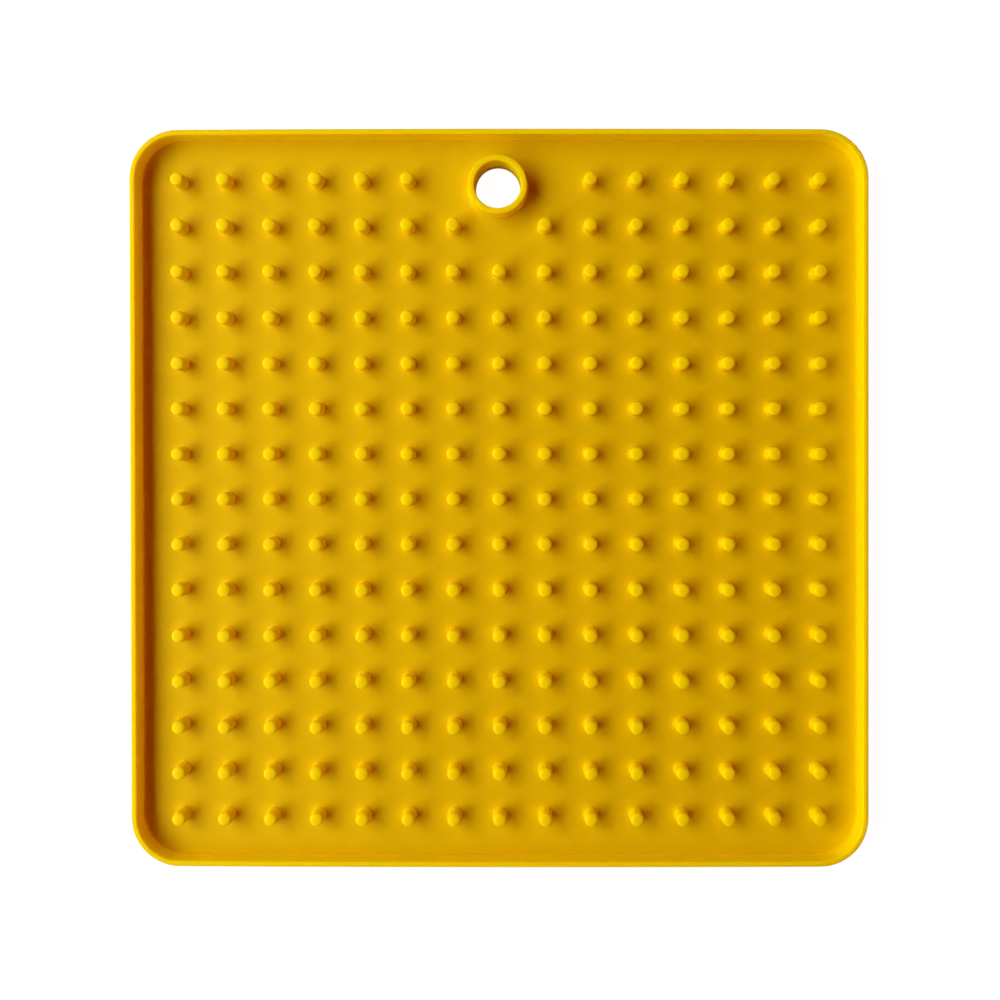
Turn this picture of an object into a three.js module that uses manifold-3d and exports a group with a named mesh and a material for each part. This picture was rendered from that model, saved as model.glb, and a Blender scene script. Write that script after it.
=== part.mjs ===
// A lick mat: one moulding of soft silicone rubber. A shallow square tray has a
// rounded rim, a field of short round pegs on its floor, and a hang hole inside a
// raised round collar. Millimetres, +Z up, underside on z = 0, hang hole towards +Y.
import * as THREE from 'three';
import { mergeVertices } from 'three/addons/utils/BufferGeometryUtils.js';
import Module from 'manifold-3d';

// Tray: half of its side, plan radius of its corners, height over all, floor thickness.
const TRAY = { half: 100, corner: 13.1, height: 8, floor: 2 };

// Rim: thickness at its top, rounding of both top edges, bevel of the outer bottom
// edge, and how much thicker the rim is at the floor.
const RIM = { width: 1.42, round: 0.25, under: 0.4, lean: 0.2 };

// Pegs: a square field about its own middle, each a slightly tapered shaft with a
// bevelled tip. A peg that would stand within `clear` of the collar's axis is left out.
const PEG = {
  count: 15, pitchX: 12.47, pitchY: 12.44, midX: -0.05, midY: -0.29,
  root: 2.0, shoulder: 1.82, top: 7.8, bevel: 0.3, sides: 8, clear: 14,
};

// Collar around the hang hole: axis, radius of the hole at its top and at the underside,
// radius of the collar, rounding of its top edges, and how much wider it is at the floor.
const COLLAR = {
  x: -0.4, y: 85, hole: 6.4, holeFoot: 6.1, outer: 8, round: 0.25, lean: 0.2, sides: 20,
};

// Plan outline: straight steps along each side and steps around each corner.
const OUTLINE = { sideSteps: 2, cornerSteps: 5 };

// Unevenness of the plan: the left side's lean, the shift that centres it again, the
// swell, tilt and bow of the upper and lower sides, and how far the rows of pegs about
// `sagAt` have settled downwards, fading out over `sagReach`.
const UNEVEN = {
  lean: 0.18, shift: 0.156, swell: 0.08, tilt: 0.1, bow: 0.28,
  sag: 0.4, sagAt: 38, sagReach: 52,
};

// How far a buried end reaches into what it joins, and a cutter past what it cuts.
const OVERLAP = 0.4;
const OVERSHOOT = 1;

// Points closer than this are one vertex.
const SAME_POINT = 1e-4;

// Each peg is turned by this much more than the last (degrees), so the corners of
// neighbouring pegs never fall in one line across the floor.
const PEG_TURN = 137.5;

const SILICONE = { color: 0xeeb90c, roughness: 0.48, metalness: 0 };

const wasm = await Module();
wasm.setup();

// The moulding isn't quite square: its left side leans, its upper and lower sides bow
// outwards and some rows of pegs sit a little low. Takes a true plan point and gives
// the real one, which keeps the whole outline centred on the origin.
function settle(x, y) {
  const u = x / TRAY.half;
  const v = y / TRAY.half;
  const sideways = UNEVEN.shift - UNEVEN.lean * (1 - u) * v;
  const lengthways = v * (UNEVEN.swell + UNEVEN.tilt * u - UNEVEN.bow * u * u);
  const near = THREE.MathUtils.smoothstep(UNEVEN.sagReach - Math.abs(y - UNEVEN.sagAt), 0, UNEVEN.sagReach);
  return [x + sideways, y + lengthways - UNEVEN.sag * near];
}

// A quarter circle of a profile about (r, z), from angle a to angle b in degrees.
function quarter(r, z, radius, a, b, steps = 2) {
  const points = [];
  for (let k = 0; k <= steps; k += 1) {
    const angle = THREE.MathUtils.degToRad(a + (b - a) * k / steps);
    points.push(new THREE.Vector2(r + radius * Math.cos(angle), z + radius * Math.sin(angle)));
  }
  return points;
}

// Turns a profile of (radius, height) points around the Z axis.
function lathe(profile, sides) {
  const geometry = new THREE.LatheGeometry(profile, sides);
  geometry.rotateX(Math.PI / 2);
  return geometry;
}

function toManifold(geometry) {
  const bare = geometry.clone();
  bare.deleteAttribute('normal');
  bare.deleteAttribute('uv');
  const merged = mergeVertices(bare, SAME_POINT);
  const index = merged.index.array;
  const solid = [];
  for (let t = 0; t < index.length; t += 3) {
    const [a, b, c] = [index[t], index[t + 1], index[t + 2]];
    if (a !== b && b !== c && c !== a) solid.push(a, b, c);
  }
  return new wasm.Manifold(new wasm.Mesh({
    numProp: 3,
    vertProperties: new Float32Array(merged.attributes.position.array),
    triVerts: new Uint32Array(solid),
  }));
}

function toGeometry(manifold) {
  const mesh = manifold.getMesh();
  const geometry = new THREE.BufferGeometry();
  geometry.setAttribute('position', new THREE.BufferAttribute(new Float32Array(mesh.vertProperties), 3));
  geometry.setIndex(Array.from(mesh.triVerts));
  geometry.computeVertexNormals();
  return geometry;
}

// One function for each vertex around the tray's plan. It takes how far the sides
// reach from the middle and gives that vertex: corners keep their own centres.
function outlineStations() {
  const straight = TRAY.half - TRAY.corner;
  const stations = [];
  for (let q = 0; q < 4; q += 1) {
    const turn = q * Math.PI / 2;
    const add = (alongX, alongY, grow) => stations.push((reach) => {
      const share = Math.min(reach / straight, 1);
      const beyond = Math.max(reach - straight, 0);
      const x = alongX * share + grow[0] * beyond;
      const y = alongY * share + grow[1] * beyond;
      return [x * Math.cos(turn) - y * Math.sin(turn), x * Math.sin(turn) + y * Math.cos(turn)];
    });
    for (let k = 1; k < OUTLINE.sideSteps; k += 1) {
      add(straight, straight * (2 * k / OUTLINE.sideSteps - 1), [1, 0]);
    }
    for (let k = 0; k <= OUTLINE.cornerSteps; k += 1) {
      const angle = Math.PI / 2 * k / OUTLINE.cornerSteps;
      add(straight, straight, [Math.cos(angle), Math.sin(angle)]);
    }
  }
  return stations;
}

// Tray: a turned profile whose rings are drawn out to the rounded square.
function makeTray() {
  const { half, height, floor } = TRAY;
  const { width, round, under, lean } = RIM;
  const inner = half - width;
  const profile = [
    new THREE.Vector2(0, 0),
    new THREE.Vector2(half - under, 0),
    new THREE.Vector2(half, under),
    ...quarter(half - round, height - round, round, 0, 90),
    ...quarter(inner + round, height - round, round, 90, 180),
    new THREE.Vector2(inner - lean, floor),
    new THREE.Vector2(0, floor),
  ];
  const stations = outlineStations();
  const geometry = lathe(profile, stations.length);
  const position = geometry.attributes.position;
  for (let i = 0; i < position.count; i += 1) {
    const ring = Math.floor(i / profile.length) % stations.length;
    const point = profile[i % profile.length];
    position.setXYZ(i, ...settle(...stations[ring](point.x)), point.y);
  }
  return toManifold(geometry);
}

// Factor from a true circle's radius to the corner radius of a like-area polygon.
function cornerFactor(sides) {
  const step = 2 * Math.PI / sides;
  return Math.sqrt(step / Math.sin(step));
}

function makePeg() {
  const { root, shoulder, top, bevel, sides } = PEG;
  const k = cornerFactor(sides);
  const taper = (root - shoulder) / (top - bevel - TRAY.floor);
  const geometry = lathe([
    new THREE.Vector2(0, TRAY.floor - OVERLAP),
    new THREE.Vector2(k * (root + taper * OVERLAP), TRAY.floor - OVERLAP),
    new THREE.Vector2(k * shoulder, top - bevel),
    new THREE.Vector2(k * (shoulder - bevel), top),
    new THREE.Vector2(0, top),
  ], sides);
  return toManifold(geometry);
}

function pegCentres() {
  const centres = [];
  const mid = (PEG.count - 1) / 2;
  for (let row = 0; row < PEG.count; row += 1) {
    for (let column = 0; column < PEG.count; column += 1) {
      const x = PEG.midX + (column - mid) * PEG.pitchX;
      const y = PEG.midY + (row - mid) * PEG.pitchY;
      if (Math.hypot(x - COLLAR.x, y - COLLAR.y) > PEG.clear) centres.push(settle(x, y));
    }
  }
  return centres;
}

function makeCollar() {
  const { outer, round, lean, sides } = COLLAR;
  const k = cornerFactor(sides);
  const { height, floor } = TRAY;
  const profile = [
    new THREE.Vector2(0, floor - OVERLAP),
    new THREE.Vector2(outer + lean, floor - OVERLAP),
    ...quarter(outer - round, height - round, round, 0, 90),
    new THREE.Vector2(0, height),
  ];
  return toManifold(lathe(profile.map((p) => new THREE.Vector2(p.x * k, p.y)), sides));
}

// Cutter for the hang hole, a little wider upwards and flared where the hole's top edge
// is rounded.
function makeHole() {
  const { hole, holeFoot, round, sides } = COLLAR;
  const k = cornerFactor(sides);
  const { height } = TRAY;
  const profile = [
    new THREE.Vector2(0, -OVERSHOOT),
    new THREE.Vector2(holeFoot, -OVERSHOOT),
    new THREE.Vector2(holeFoot, 0),
    ...quarter(hole + round, height - round, round, 180, 90),
    new THREE.Vector2(hole + round, height + OVERSHOOT),
    new THREE.Vector2(0, height + OVERSHOOT),
  ];
  return toManifold(lathe(profile.map((p) => new THREE.Vector2(p.x * k, p.y)), sides));
}

function makeMat() {
  const peg = makePeg();
  const collarAt = [...settle(COLLAR.x, COLLAR.y), 0];
  let body = makeTray().add(makeCollar().translate(collarAt)).subtract(makeHole().translate(collarAt));
  pegCentres().forEach(([x, y], k) => {
    body = body.add(peg.rotate([0, 0, k * PEG_TURN]).translate([x, y, 0]));
  });
  return toGeometry(body);
}

const mat = new THREE.Mesh(makeMat(), new THREE.MeshStandardMaterial(SILICONE));
mat.name = 'mat';

const group = new THREE.Group();
group.add(mat);

export default group;
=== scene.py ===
import math

import bmesh
import bpy
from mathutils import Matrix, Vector
from mathutils.geometry import delaunay_2d_cdt


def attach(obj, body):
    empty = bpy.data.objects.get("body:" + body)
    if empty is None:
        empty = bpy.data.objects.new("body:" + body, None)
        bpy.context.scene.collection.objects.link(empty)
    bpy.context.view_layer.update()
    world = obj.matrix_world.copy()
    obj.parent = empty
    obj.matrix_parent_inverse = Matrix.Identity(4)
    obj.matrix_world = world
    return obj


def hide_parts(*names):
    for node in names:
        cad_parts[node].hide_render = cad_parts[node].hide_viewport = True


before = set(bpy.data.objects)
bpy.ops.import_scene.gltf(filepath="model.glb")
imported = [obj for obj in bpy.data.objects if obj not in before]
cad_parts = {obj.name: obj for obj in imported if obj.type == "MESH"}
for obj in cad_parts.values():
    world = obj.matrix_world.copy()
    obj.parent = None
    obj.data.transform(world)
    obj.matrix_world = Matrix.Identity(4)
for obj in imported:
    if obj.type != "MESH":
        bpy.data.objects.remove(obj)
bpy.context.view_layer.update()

# Sizes in millimetres. Most are the solid's own named values. The hollows, the edges at the
# table and the pegs' root and crown are rounder here, and have values of their own. FOOT is
# the radius of the hollow where a form meets the floor, ROUND of its top edges and UNDER of
# its edge at the table, and LEAN is how much wider it is at the floor than at its top.
MM = 0.001

HALF = 100.0              # half of the tray's side
CORNER = 13.1             # plan radius of its corners
STRAIGHT = HALF - CORNER
HEIGHT = 8.0
FLOOR = 2.0               # thickness of the tray's floor

RIM_WIDTH = 1.42
RIM_ROUND = 0.25
RIM_LEAN = 0.2
RIM_FOOT = 0.35
RIM_UNDER = 0.45

PEG_COUNT = 15            # pegs each way
PEG_PITCH = (12.47, 12.44)
PEG_MIDDLE = (-0.05, -0.29)
PEG_ROOT = 1.95           # radius of the shaft just above the hollow
PEG_TOP = 7.8             # height of the tips above the table
# Crown of a peg's tip: (radius, drop below the top) from its edge inwards.
PEG_CROWN = ((1.84, 0.5), (1.76, 0.27), (1.54, 0.12), (1.12, 0.04), (0.6, 0.01))
PEG_FOOT = 0.25
PEG_FOOT_REACH = PEG_ROOT + PEG_FOOT
PEG_CLEAR = 14.0          # no peg stands nearer than this to the collar's axis

COLLAR_AT = (-0.4, 85.0)
COLLAR_HOLE = 6.4         # radius of the hang hole at its top
COLLAR_HOLE_FOOT = 6.1    # radius of the hang hole at the underside
COLLAR_OUTER = 8.0
COLLAR_LEAN = 0.2
COLLAR_FOOT = 0.35
COLLAR_ROUND = 0.25
COLLAR_UNDER = 0.15

# Fineness of the rounded forms: faces around a form, and steps in each arc or side.
PEG_SIDES = 12
PEG_FOOT_STEPS = 2
COLLAR_SIDES = 64
SIDE_STEPS = 30
CORNER_STEPS = 14
HOLLOW_STEPS = 4
ROUND_STEPS = 5
UNDER_STEPS = 3
SAME_POINT = 1e-5

# Unevenness of the plan: the left side's lean and the shift that centres it again, the
# swell, tilt and bow of the upper and lower sides, and the rows that sit a little low.
UNEVEN_LEAN = 0.18
UNEVEN_SHIFT = 0.156
UNEVEN_SWELL = 0.08
UNEVEN_TILT = 0.1
UNEVEN_BOW = 0.28
SAG = 0.4
SAG_AT = 38.0
SAG_REACH = 52.0

# Silicone: an egg-yolk pigment with a faint cloud, given as (low, high). The floor gets a deeper copy as
# painted shade, and what stands up gets a paler copy as painted light, fully so from RAISED_HIGH above
# the floor.
SHADED_FLOOR_YELLOW = ((0.765, 0.534, 0.0), (0.795, 0.55, 0.0))
LIT_RAISED_YELLOW = ((0.929, 0.75, 0.0), (0.945, 0.77, 0.0))
CLOUD_SCALE = 22.0
NOISE_LOW, NOISE_HIGH = 0.3, 0.7
RAISED_LOW = 0.1
RAISED_HIGH = 0.9
GRAIN_DEPTH = 0.08
GRAIN_STRENGTH = 0.25
ROUGH_LOW, ROUGH_HIGH = 0.42, 0.56
GLOW_WEIGHT = 0.8         # share of the light that goes through the silicone
GLOW_REACH = 3.5          # how far the red part of it goes
GLOW_COLOURS = (1.0, 0.67, 0.05)
SILICONE_IOR = 1.41
GLOSS_LEVEL = 0.46
GLOSS_TINT = (1.0, 0.85, 0.1, 1)

# Room and lights, in metres and watts. A light is its place, its two sides and its power.
TABLE_GREY = 0.12
TABLE_GLOW = 0.97
TABLE_SIZE = 6.0
TABLE_DROP = 0.0001       # the table lies this much below the mat
SHADOW_FILL = (0.16, 0.003, 0.002, 1)
ROOM_WHITE = (0.9, 0.9, 0.9, 1)
WINDOW = ((-0.788, 0.056, 0.737), (1.6, 0.7), 15.4)
LOW_LIGHT = ((-1.082, -0.057, 0.19), (1.9, 0.25), 2.8)

# The camera looks straight down, with its eye (metres) a little right of and above the
# middle, and the frame (in widths of itself) shifted back over the mat.
EYE_X, EYE_Y, EYE_HEIGHT = 0.0083, 0.0117, 0.322
FRAME_SHIFT = (-0.02955, -0.0452)
SCALE = 3.692             # pixels for a millimetre at the height of the rim
FRAME_PIXELS = 1000
SENSOR = 36.0


def settle(x, y):
    """The real plan place of a true one: sides lean and bow, and some rows sit a little low."""
    u = x / HALF
    v = y / HALF
    sideways = UNEVEN_SHIFT - UNEVEN_LEAN * (1 - u) * v
    lengthways = v * (UNEVEN_SWELL + UNEVEN_TILT * u - UNEVEN_BOW * u * u)
    near = min(max(1 - abs(y - SAG_AT) / SAG_REACH, 0), 1)
    return x + sideways, y + lengthways - SAG * near * near * (3 - 2 * near)


def arc(r, z, radius, start, end, steps):
    """Points of a profile on a quarter circle about (r, z), both ends included."""
    points = []
    for k in range(steps + 1):
        a = math.radians(start + (end - start) * k / steps)
        points.append((r + radius * math.cos(a), z + radius * math.sin(a)))
    return points


# Silicone and its shared effects.
def new_group(name, inputs, outputs):
    """A shader node group with its named sockets. Returns it with its input and output nodes."""
    group = bpy.data.node_groups.new(name, "ShaderNodeTree")
    for label, kind, value in inputs:
        socket = group.interface.new_socket(name=label, in_out="INPUT", socket_type=kind)
        if value is not None:
            socket.default_value = value
    for label, kind in outputs:
        group.interface.new_socket(name=label, in_out="OUTPUT", socket_type=kind)
    return group, group.nodes.new("NodeGroupInput"), group.nodes.new("NodeGroupOutput")


def moulded_grain_group():
    """Fine matt grain of a blasted mould: a height for bump and a value for roughness."""
    group, given, result = new_group(
        "moulded_grain",
        [
            ("Vector", "NodeSocketVector", None),
            ("Grain Scale", "NodeSocketFloat", 2600.0),
            ("Wave Scale", "NodeSocketFloat", 45.0),
            ("Wave Share", "NodeSocketFloat", 0.6),
        ],
        [("Height", "NodeSocketFloat"), ("Mask", "NodeSocketFloat")],
    )
    links = group.links
    grain = group.nodes.new("ShaderNodeTexNoise")
    grain.inputs["Detail"].default_value = 3.0
    grain.inputs["Roughness"].default_value = 0.6
    links.new(given.outputs["Vector"], grain.inputs["Vector"])
    links.new(given.outputs["Grain Scale"], grain.inputs["Scale"])
    wave = group.nodes.new("ShaderNodeTexNoise")
    wave.inputs["Detail"].default_value = 2.0
    links.new(given.outputs["Vector"], wave.inputs["Vector"])
    links.new(given.outputs["Wave Scale"], wave.inputs["Scale"])
    scaled = group.nodes.new("ShaderNodeMath")
    scaled.operation = "MULTIPLY"
    links.new(wave.outputs["Fac"], scaled.inputs[0])
    links.new(given.outputs["Wave Share"], scaled.inputs[1])
    total = group.nodes.new("ShaderNodeMath")
    total.operation = "ADD"
    links.new(grain.outputs["Fac"], total.inputs[0])
    links.new(scaled.outputs[0], total.inputs[1])
    links.new(total.outputs[0], result.inputs["Height"])
    links.new(grain.outputs["Fac"], result.inputs["Mask"])
    return group


def painted_light_mask_group():
    """How far a place stands up from the floor: 0 on the floor, 1 on tips and rim.

    All that lies outside the middle of the rim counts as raised, down to the table. The mask sets where
    the yellow is painted paler as painted light, and deeper on the floor as painted shade.
    """
    group, given, result = new_group(
        "painted_light_mask",
        [
            ("Vector", "NodeSocketVector", None),
            ("Low", "NodeSocketFloat", 0.0),
            ("High", "NodeSocketFloat", 1.0),
            ("Corner Centre", "NodeSocketVector", None),
            ("Corner Radius", "NodeSocketFloat", 0.0),
        ],
        [("Mask", "NodeSocketFloat")],
    )
    split = group.nodes.new("ShaderNodeSeparateXYZ")
    group.links.new(given.outputs["Vector"], split.inputs["Vector"])
    share = group.nodes.new("ShaderNodeMapRange")
    share.interpolation_type = "SMOOTHSTEP"
    group.links.new(split.outputs["Z"], share.inputs["Value"])
    group.links.new(given.outputs["Low"], share.inputs["From Min"])
    group.links.new(given.outputs["High"], share.inputs["From Max"])
    # Distance from the square of the corner centres, as in the rounded plan itself.
    away = given.outputs["Vector"]
    for operation in ("ABSOLUTE", "SUBTRACT", "MAXIMUM"):
        step = group.nodes.new("ShaderNodeVectorMath")
        step.operation = operation
        group.links.new(away, step.inputs[0])
        if operation == "SUBTRACT":
            group.links.new(given.outputs["Corner Centre"], step.inputs[1])
        away = step.outputs["Vector"]
    reach = group.nodes.new("ShaderNodeVectorMath")
    reach.operation = "LENGTH"
    group.links.new(away, reach.inputs[0])
    outside = group.nodes.new("ShaderNodeMath")
    outside.operation = "GREATER_THAN"
    group.links.new(reach.outputs["Value"], outside.inputs[0])
    group.links.new(given.outputs["Corner Radius"], outside.inputs[1])
    either = group.nodes.new("ShaderNodeMath")
    either.operation = "MAXIMUM"
    group.links.new(share.outputs["Result"], either.inputs[0])
    group.links.new(outside.outputs[0], either.inputs[1])
    group.links.new(either.outputs[0], result.inputs["Mask"])
    return group


def cloudy_colour(tree, factor, colours):
    """A colour that goes between two with the cloud's value."""
    ramp = tree.nodes.new("ShaderNodeValToRGB")
    for element, position, colour in zip(ramp.color_ramp.elements, (NOISE_LOW, NOISE_HIGH), colours):
        element.position = position
        element.color = (*colour, 1)
    tree.links.new(factor, ramp.inputs["Fac"])
    return ramp.outputs["Color"]


def colour_mix(tree):
    """The sockets of a new colour mix: its factor, first colour, second colour and result."""
    mix = tree.nodes.new("ShaderNodeMix")
    mix.data_type = "RGBA"
    given = {socket.identifier: socket for socket in mix.inputs}
    made = {socket.identifier: socket for socket in mix.outputs}
    return given["Factor_Float"], given["A_Color"], given["B_Color"], made["Result_Color"]


def silicone_material(grain, raised):
    """Matt yellow silicone, painted paler where the moulding stands up as painted light and deeper on
    its floor as painted shade.
    """
    material = bpy.data.materials.new("yellow_silicone")
    material.use_nodes = True
    tree = material.node_tree
    shader = tree.nodes["Principled BSDF"]
    place = tree.nodes.new("ShaderNodeTexCoord")

    # Pigment, with painted light and shade: a deeper copy on the floor as painted shade, a paler copy
    # where the moulding stands up as painted light.
    cloud = tree.nodes.new("ShaderNodeTexNoise")
    cloud.inputs["Scale"].default_value = CLOUD_SCALE
    cloud.inputs["Detail"].default_value = 3.0
    tree.links.new(place.outputs["Object"], cloud.inputs["Vector"])
    shaded_floor_colour = cloudy_colour(tree, cloud.outputs["Fac"], SHADED_FLOOR_YELLOW)
    lit_raised_colour = cloudy_colour(tree, cloud.outputs["Fac"], LIT_RAISED_YELLOW)
    height = tree.nodes.new("ShaderNodeGroup")
    height.node_tree = raised
    height.inputs["Low"].default_value = (FLOOR + RAISED_LOW) * MM
    height.inputs["High"].default_value = (FLOOR + RAISED_HIGH) * MM
    height.inputs["Corner Centre"].default_value = (STRAIGHT * MM, STRAIGHT * MM, HEIGHT * MM)
    height.inputs["Corner Radius"].default_value = (CORNER - RIM_WIDTH / 2) * MM
    tree.links.new(place.outputs["Object"], height.inputs["Vector"])
    share, shaded_floor_input, lit_raised_input, pigment_and_painted_light = colour_mix(tree)
    tree.links.new(height.outputs["Mask"], share)
    tree.links.new(shaded_floor_colour, shaded_floor_input)
    tree.links.new(lit_raised_colour, lit_raised_input)
    tree.links.new(pigment_and_painted_light, shader.inputs["Base Color"])

    # Grain.
    texture = tree.nodes.new("ShaderNodeGroup")
    texture.node_tree = grain
    tree.links.new(place.outputs["Object"], texture.inputs["Vector"])
    bump = tree.nodes.new("ShaderNodeBump")
    bump.inputs["Strength"].default_value = GRAIN_STRENGTH
    bump.inputs["Distance"].default_value = GRAIN_DEPTH * MM
    tree.links.new(texture.outputs["Height"], bump.inputs["Height"])
    tree.links.new(bump.outputs["Normal"], shader.inputs["Normal"])
    rough = tree.nodes.new("ShaderNodeMapRange")
    rough.inputs["From Min"].default_value = NOISE_LOW
    rough.inputs["From Max"].default_value = NOISE_HIGH
    rough.inputs["To Min"].default_value = ROUGH_LOW
    rough.inputs["To Max"].default_value = ROUGH_HIGH
    tree.links.new(texture.outputs["Mask"], rough.inputs["Value"])
    tree.links.new(rough.outputs["Result"], shader.inputs["Roughness"])

    # Light inside the silicone, and gloss.
    shader.subsurface_method = "BURLEY"
    shader.inputs["Subsurface Weight"].default_value = GLOW_WEIGHT
    shader.inputs["Subsurface Radius"].default_value = GLOW_COLOURS
    shader.inputs["Subsurface Scale"].default_value = GLOW_REACH * MM
    shader.inputs["IOR"].default_value = SILICONE_IOR
    shader.inputs["Specular IOR Level"].default_value = GLOSS_LEVEL
    shader.inputs["Specular Tint"].default_value = GLOSS_TINT
    return material


# Peg field, made by geometry nodes.
def peg_pattern():
    """One peg with the hollow at its foot, on the origin, open where it meets the floor."""
    profile = arc(PEG_FOOT_REACH, FLOOR + PEG_FOOT, PEG_FOOT, 270, 180, PEG_FOOT_STEPS)
    profile += [(r, PEG_TOP - drop) for r, drop in PEG_CROWN]
    vertices = []
    for r, z in profile:
        for k in range(PEG_SIDES):
            a = 2 * math.pi * k / PEG_SIDES
            vertices.append((r * math.cos(a) * MM, r * math.sin(a) * MM, z * MM))
    faces = []
    for ring in range(len(profile) - 1):
        for k in range(PEG_SIDES):
            a = ring * PEG_SIDES + k
            b = ring * PEG_SIDES + (k + 1) % PEG_SIDES
            faces.append((a, b, b + PEG_SIDES, a + PEG_SIDES))
    last = (len(profile) - 1) * PEG_SIDES
    faces.append(tuple(range(last, last + PEG_SIDES)))
    mesh = bpy.data.meshes.new("peg_pattern")
    mesh.from_pydata(vertices, [], faces)
    mesh.update()
    pattern = bpy.data.objects.new("peg_pattern", mesh)
    bpy.context.scene.collection.objects.link(pattern)
    return pattern


def peg_field_tree():
    """A square field of pegs about its own middle, bare within a radius of the collar's axis."""
    tree = bpy.data.node_groups.new("peg_field", "GeometryNodeTree")
    face = tree.interface
    for name, kind in (
        ("Peg Pattern", "NodeSocketObject"),
        ("Pegs Each Way", "NodeSocketInt"),
        ("Pitch", "NodeSocketVector"),
        ("Middle", "NodeSocketVector"),
        ("Collar Axis", "NodeSocketVector"),
        ("Clear Radius", "NodeSocketFloat"),
        ("Material", "NodeSocketMaterial"),
    ):
        face.new_socket(name=name, in_out="INPUT", socket_type=kind)
    face.new_socket(name="Geometry", in_out="OUTPUT", socket_type="NodeSocketGeometry")
    nodes, links = tree.nodes, tree.links
    given = nodes.new("NodeGroupInput")
    result = nodes.new("NodeGroupOutput")

    def math_node(operation, *values):
        node = nodes.new("ShaderNodeMath")
        node.operation = operation
        for socket, value in zip(node.inputs, values):
            if hasattr(value, "is_output"):
                links.new(value, socket)
            else:
                socket.default_value = value
        return node.outputs[0]

    gaps = math_node("SUBTRACT", given.outputs["Pegs Each Way"], 1.0)
    grid = nodes.new("GeometryNodeMeshGrid")
    pitch = nodes.new("ShaderNodeSeparateXYZ")
    links.new(given.outputs["Pitch"], pitch.inputs["Vector"])
    for axis in "XY":
        links.new(math_node("MULTIPLY", gaps, pitch.outputs[axis]), grid.inputs["Size " + axis])
    links.new(given.outputs["Pegs Each Way"], grid.inputs["Vertices X"])
    links.new(given.outputs["Pegs Each Way"], grid.inputs["Vertices Y"])
    moved = nodes.new("GeometryNodeTransform")
    links.new(grid.outputs["Mesh"], moved.inputs["Geometry"])
    links.new(given.outputs["Middle"], moved.inputs["Translation"])
    points = nodes.new("GeometryNodeMeshToPoints")
    links.new(moved.outputs["Geometry"], points.inputs["Mesh"])

    position = nodes.new("GeometryNodeInputPosition")
    distance = nodes.new("ShaderNodeVectorMath")
    distance.operation = "DISTANCE"
    links.new(position.outputs["Position"], distance.inputs[0])
    links.new(given.outputs["Collar Axis"], distance.inputs[1])
    near = nodes.new("FunctionNodeCompare")
    near.data_type = "FLOAT"
    near.operation = "LESS_THAN"
    links.new(distance.outputs["Value"], near.inputs[0])
    links.new(given.outputs["Clear Radius"], near.inputs[1])
    kept = nodes.new("GeometryNodeDeleteGeometry")
    kept.domain = "POINT"
    links.new(points.outputs["Points"], kept.inputs["Geometry"])
    links.new(near.outputs["Result"], kept.inputs["Selection"])

    pattern = nodes.new("GeometryNodeObjectInfo")
    pattern.inputs["As Instance"].default_value = True
    links.new(given.outputs["Peg Pattern"], pattern.inputs["Object"])
    placed = nodes.new("GeometryNodeInstanceOnPoints")
    links.new(kept.outputs["Geometry"], placed.inputs["Points"])
    links.new(pattern.outputs["Geometry"], placed.inputs["Instance"])
    real = nodes.new("GeometryNodeRealizeInstances")
    links.new(placed.outputs["Instances"], real.inputs["Geometry"])
    coated = nodes.new("GeometryNodeSetMaterial")
    links.new(real.outputs["Geometry"], coated.inputs["Geometry"])
    links.new(given.outputs["Material"], coated.inputs["Material"])
    links.new(coated.outputs["Geometry"], result.inputs["Geometry"])
    return tree


def peg_field_mesh(silicone):
    """The field as one plain mesh."""
    pattern = peg_pattern()
    carrier = bpy.data.objects.new("peg_field", bpy.data.meshes.new("peg_field"))
    bpy.context.scene.collection.objects.link(carrier)
    modifier = carrier.modifiers.new("peg_field", "NODES")
    modifier.node_group = peg_field_tree()
    values = {
        "Peg Pattern": pattern,
        "Pegs Each Way": PEG_COUNT,
        "Pitch": (PEG_PITCH[0] * MM, PEG_PITCH[1] * MM, 0.0),
        "Middle": (PEG_MIDDLE[0] * MM, PEG_MIDDLE[1] * MM, 0.0),
        "Collar Axis": (COLLAR_AT[0] * MM, COLLAR_AT[1] * MM, 0.0),
        "Clear Radius": PEG_CLEAR * MM,
        "Material": silicone,
    }
    for item in modifier.node_group.interface.items_tree:
        if item.in_out == "INPUT":
            modifier[item.identifier] = values[item.name]
    graph = bpy.context.evaluated_depsgraph_get()
    mesh = bpy.data.meshes.new_from_object(carrier.evaluated_get(graph))
    carrier.modifiers.clear()
    bpy.data.objects.remove(carrier)
    bpy.data.objects.remove(pattern)
    return mesh


# Rim, collar and the flat places that join them to the pegs.
def plan_stations():
    """For each vertex around the plan, where it is at the corner centres and how it moves out."""
    stations = []
    for q in range(4):
        c, s = round(math.cos(q * math.pi / 2)), round(math.sin(q * math.pi / 2))

        def add(x, y, gx, gy):
            stations.append(((x * c - y * s, x * s + y * c), (gx * c - gy * s, gx * s + gy * c)))

        for k in range(1, SIDE_STEPS):
            add(STRAIGHT, STRAIGHT * (2 * k / SIDE_STEPS - 1), 1.0, 0.0)
        for k in range(CORNER_STEPS + 1):
            a = math.pi / 2 * k / CORNER_STEPS
            add(STRAIGHT, STRAIGHT, math.cos(a), math.sin(a))
    return stations


def add_rings(mesh, loops):
    """Skins a list of closed loops of vertex positions. Returns the vertices of each loop."""
    rings = [[mesh.verts.new(Vector(p) * MM) for p in loop] for loop in loops]
    for low, high in zip(rings, rings[1:]):
        count = len(low)
        for k in range(count):
            mesh.faces.new((low[k], low[(k + 1) % count], high[(k + 1) % count], high[k]))
    return rings


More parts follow.
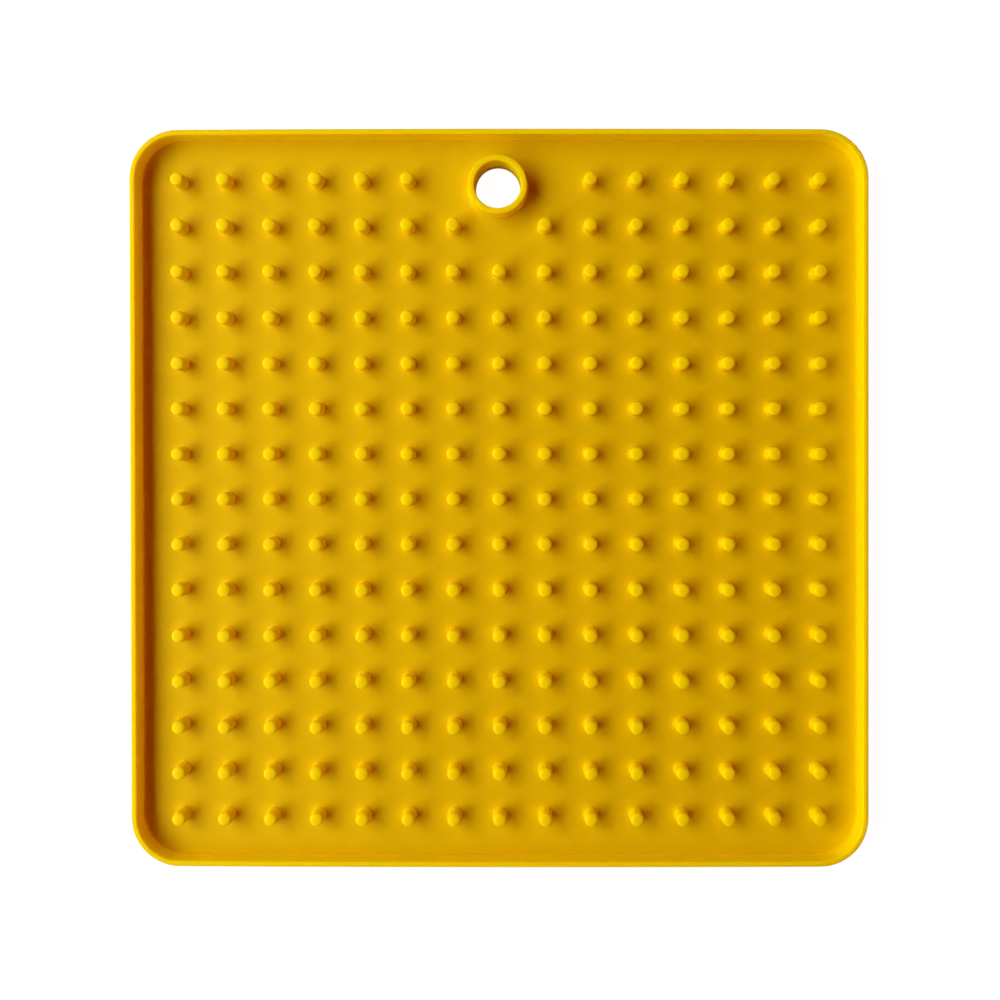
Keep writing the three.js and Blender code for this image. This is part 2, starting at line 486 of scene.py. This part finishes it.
def rim_loops():
    """The rim's loops, from the floor up its inner wall, over and down to the underside."""
    inner = HALF - RIM_WIDTH
    foot = inner - RIM_LEAN
    profile = arc(foot - RIM_FOOT, FLOOR + RIM_FOOT, RIM_FOOT, -90, 0, HOLLOW_STEPS)
    profile += arc(inner + RIM_ROUND, HEIGHT - RIM_ROUND, RIM_ROUND, 180, 90, ROUND_STEPS)
    profile += arc(HALF - RIM_ROUND, HEIGHT - RIM_ROUND, RIM_ROUND, 90, 0, ROUND_STEPS)
    profile += arc(HALF - RIM_UNDER, RIM_UNDER, RIM_UNDER, 0, -90, UNDER_STEPS)
    stations = plan_stations()
    loops = []
    for reach, z in profile:
        grow = reach - STRAIGHT
        loops.append([(p[0] + g[0] * grow, p[1] + g[1] * grow, z) for p, g in stations])
    return loops


def collar_loops():
    """The collar's loops, from the floor up its outside, over and down through the hole."""
    foot = COLLAR_OUTER + COLLAR_LEAN
    profile = arc(foot + COLLAR_FOOT, FLOOR + COLLAR_FOOT, COLLAR_FOOT, 270, 180, HOLLOW_STEPS)
    profile += arc(COLLAR_OUTER - COLLAR_ROUND, HEIGHT - COLLAR_ROUND, COLLAR_ROUND, 0, 90, ROUND_STEPS)
    profile += arc(COLLAR_HOLE + COLLAR_ROUND, HEIGHT - COLLAR_ROUND, COLLAR_ROUND, 90, 180, ROUND_STEPS)
    profile += arc(COLLAR_HOLE_FOOT + COLLAR_UNDER, COLLAR_UNDER, COLLAR_UNDER, 180, 270, UNDER_STEPS)
    loops = []
    for r, z in profile:
        loop = []
        for k in range(COLLAR_SIDES):
            a = -2 * math.pi * k / COLLAR_SIDES
            loop.append((COLLAR_AT[0] + r * math.cos(a), COLLAR_AT[1] + r * math.sin(a), z))
        loops.append(loop)
    return loops


def inside(x, y, ring):
    """Whether a plan point lies inside a closed ring of vertices."""
    within = False
    for k, a in enumerate(ring):
        b = ring[k - 1]
        if (a.co.y > y) != (b.co.y > y):
            if x < (b.co.x - a.co.x) * (y - a.co.y) / (b.co.y - a.co.y) + a.co.x:
                within = not within
    return within


def fill_flat(mesh, outer, holes, edges, upward, skip=None):
    """Fills the flat place inside one ring and outside others with triangles.

    The open edges of what stands there are kept, and no face is made where `skip` says so.
    """
    vertices = list(outer)
    for ring in holes:
        vertices += ring
    vertices += dict.fromkeys(v for pair in edges for v in pair)
    number = {v: k for k, v in enumerate(vertices)}
    borders = []
    for ring in [outer, *holes]:
        borders += [(number[a], number[ring[k - 1]]) for k, a in enumerate(ring)]
    borders += [(number[a], number[b]) for a, b in edges]
    flat = [Vector((v.co.x / MM, v.co.y / MM)) for v in vertices]
    _, _, faces, origins, _, _ = delaunay_2d_cdt(flat, borders, [], 0, SAME_POINT)
    back = [o[0] for o in origins]
    for face in faces:
        corners = [vertices[back[k]] for k in face]
        x = sum(v.co.x for v in corners) / len(corners)
        y = sum(v.co.y for v in corners) / len(corners)
        if not inside(x, y, outer) or any(inside(x, y, ring) for ring in holes):
            continue
        if skip and skip(x, y):
            continue
        made = mesh.faces.new(corners)
        made.normal_update()
        if (made.normal.z > 0) != upward:
            made.normal_flip()


def under_peg(x, y):
    """Whether a plan point in metres lies inside the foot of the nearest peg."""
    middle = (PEG_COUNT - 1) / 2
    centre = []
    for place, start, pitch in zip((x / MM, y / MM), PEG_MIDDLE, PEG_PITCH):
        number = min(max(round((place - start) / pitch + middle), 0), PEG_COUNT - 1)
        centre.append(start + (number - middle) * pitch)
    if math.dist(centre, COLLAR_AT) < PEG_CLEAR:
        return False
    return math.dist(centre, (x / MM, y / MM)) < PEG_FOOT_REACH * math.cos(math.pi / PEG_SIDES)


def make_mat(silicone):
    """The whole mat as one closed mesh."""
    mesh = bmesh.new()
    mesh.from_mesh(peg_field_mesh(silicone))
    open_edges = [tuple(e.verts) for e in mesh.edges if len(e.link_faces) == 1]
    rim = add_rings(mesh, rim_loops())
    collar = add_rings(mesh, collar_loops())
    fill_flat(mesh, rim[0], [collar[0]], open_edges, True, under_peg)
    fill_flat(mesh, rim[-1], [collar[-1]], [], False)
    for v in mesh.verts:
        x, y = settle(v.co.x / MM, v.co.y / MM)
        v.co.x, v.co.y = x * MM, y * MM
    bmesh.ops.recalc_face_normals(mesh, faces=mesh.faces)
    for f in mesh.faces:
        f.smooth = True
        f.material_index = 0
    data = bpy.data.meshes.new("lick_mat")
    mesh.to_mesh(data)
    mesh.free()
    data.materials.clear()
    data.materials.append(silicone)
    mat = bpy.data.objects.new("lick_mat", data)
    bpy.context.scene.collection.objects.link(mat)
    # Large flat places keep their own direction, so the shading turns only on rounded edges.
    even = mat.modifiers.new("even_shading", "WEIGHTED_NORMAL")
    even.mode = "FACE_AREA"
    even.weight = 50
    return mat


silicone = silicone_material(moulded_grain_group(), painted_light_mask_group())
mat = make_mat(silicone)
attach(mat, "root")
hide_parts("mat")

# Table, light and camera.
scene = bpy.context.scene
scene.view_settings.view_transform = "Standard"


def table_material():
    """A dull table that the camera alone sees burnt out to white, as in a product photograph."""
    material = bpy.data.materials.new("white_table")
    material.use_nodes = True
    tree = material.node_tree
    shader = tree.nodes["Principled BSDF"]
    shader.inputs["Base Color"].default_value = (TABLE_GREY, TABLE_GREY, TABLE_GREY, 1)
    shader.inputs["Roughness"].default_value = 0.9
    shader.inputs["Emission Color"].default_value = (1, 1, 1, 1)
    path = tree.nodes.new("ShaderNodeLightPath")
    seen = tree.nodes.new("ShaderNodeMath")
    seen.operation = "MULTIPLY"
    seen.inputs[1].default_value = TABLE_GLOW
    tree.links.new(path.outputs["Is Camera Ray"], seen.inputs[0])
    tree.links.new(seen.outputs[0], shader.inputs["Emission Strength"])
    material.cycles.emission_sampling = "NONE"
    return material


bpy.ops.mesh.primitive_plane_add(size=TABLE_SIZE, location=(0, 0, -TABLE_DROP))
table_top = bpy.context.object
table_top.name = "table_top"
table_top.data.materials.append(table_material())

# The camera sees a white room; what fills the shadows is the warm light that soft
# silicone passes on inside itself.
world = bpy.data.worlds.new("soft_room")
scene.world = world
world.use_nodes = True
room = world.node_tree
sight = room.nodes.new("ShaderNodeLightPath")
seen, fill, white, room_colour = colour_mix(room)
fill.default_value = SHADOW_FILL
white.default_value = ROOM_WHITE
room.links.new(sight.outputs["Is Camera Ray"], seen)
room.links.new(room_colour, room.nodes["Background"].inputs["Color"])


def area_light(name, place, size, power):
    """A soft rectangular light that faces the middle of the mat."""
    data = bpy.data.lights.new(name, "AREA")
    data.shape = "RECTANGLE"
    data.size, data.size_y = size
    data.energy = power
    light = bpy.data.objects.new(name, data)
    light.location = place
    light.rotation_mode = "QUATERNION"
    light.rotation_quaternion = (-Vector(place)).to_track_quat("-Z", "Y")
    scene.collection.objects.link(light)


area_light("window_left", *WINDOW)
area_light("low_light_left", *LOW_LIGHT)

camera_data = bpy.data.cameras.new("camera")
camera_data.sensor_width = SENSOR
camera_data.lens = SENSOR * (EYE_HEIGHT / MM - HEIGHT) * SCALE / FRAME_PIXELS
camera_data.shift_x, camera_data.shift_y = FRAME_SHIFT
camera_data.clip_start = 0.01
camera_data.clip_end = 20
camera = bpy.data.objects.new("camera", camera_data)
camera.location = (EYE_X, EYE_Y, EYE_HEIGHT)
scene.collection.objects.link(camera)
scene.camera = camera
